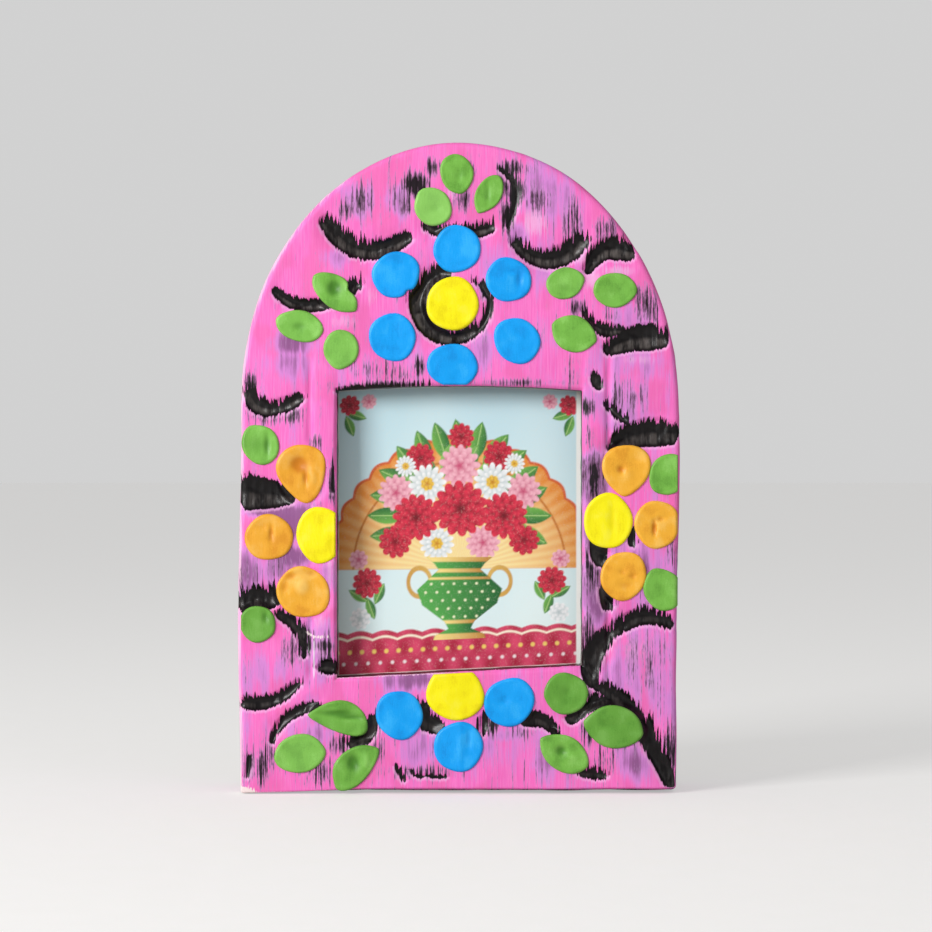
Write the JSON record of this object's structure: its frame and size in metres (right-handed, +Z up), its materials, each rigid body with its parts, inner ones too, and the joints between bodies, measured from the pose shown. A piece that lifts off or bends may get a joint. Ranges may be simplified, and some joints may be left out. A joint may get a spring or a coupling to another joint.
{
  "type": "mini nicho wall shrine",
  "caption": "Small arched wall shrine of carved, brightly painted wood with a window that holds a paper picture, paint-dab flowers and leaves, and a wire loop behind.",
  "frame": {"origin": "bottom centre of the bounding box, on the plane the base stands on", "axes": "+Z up along the arch's height, the painted front faces -Y, the hanging loop faces +Y, +X to the right seen from the front"},
  "size_m": [0.051, 0.0146, 0.076],
  "materials": {
    "painted_wood": "pink paint dry-brushed over a black base coat on carved wood",
    "bare_wood": "sawn wood, bare behind, its sides under the same black and pink paint as the front",
    "paper_print": "colour print on smooth paper",
    "steel": "bright drawn wire",
    "blue_paint": "thick acrylic paint, slight sheen",
    "yellow_paint": "thick acrylic paint, slight sheen",
    "orange_paint": "thick acrylic paint, slight sheen",
    "green_paint": "thick acrylic paint, slight sheen"
  },
  "bodies": {
    "root": {"front_frame": "painted_wood", "back_board": "bare_wood", "picture_print": "paper_print", "brad_1": "steel", "brad_2": "steel", "brad_3": "steel", "brad_4": "steel", "hanging_loop": "steel", "flower_top_centre": "yellow_paint", "flower_left_centre": "yellow_paint", "flower_right_centre": "yellow_paint", "flower_base_centre": "yellow_paint", "flower_top_petal_1": "blue_paint", "flower_top_petal_2": "blue_paint", "flower_top_petal_3": "blue_paint", "flower_top_petal_4": "blue_paint", "flower_top_petal_5": "blue_paint", "flower_top_petal_6": "blue_paint", "flower_base_petal_1": "blue_paint", "flower_base_petal_2": "blue_paint", "flower_base_petal_3": "blue_paint", "flower_left_petal_1": "orange_paint", "flower_left_petal_2": "orange_paint", "flower_left_petal_3": "orange_paint", "flower_right_petal_1": "orange_paint", "flower_right_petal_2": "orange_paint", "flower_right_petal_3": "orange_paint", "leaf_top_1": "green_paint", "leaf_top_2": "green_paint", "leaf_top_3": "green_paint", "leaf_upper_left_1": "green_paint", "leaf_upper_left_2": "green_paint", "leaf_upper_left_3": "green_paint", "leaf_upper_right_1": "green_paint", "leaf_upper_right_2": "green_paint", "leaf_upper_right_3": "green_paint", "leaf_left_1": "green_paint", "leaf_left_2": "green_paint", "leaf_right_1": "green_paint", "leaf_right_2": "green_paint", "leaf_lower_left_1": "green_paint", "leaf_lower_left_2": "green_paint", "leaf_lower_left_3": "green_paint", "leaf_lower_right_1": "green_paint", "leaf_lower_right_2": "green_paint", "leaf_lower_right_3": "green_paint"}
  },
  "joints": []
}
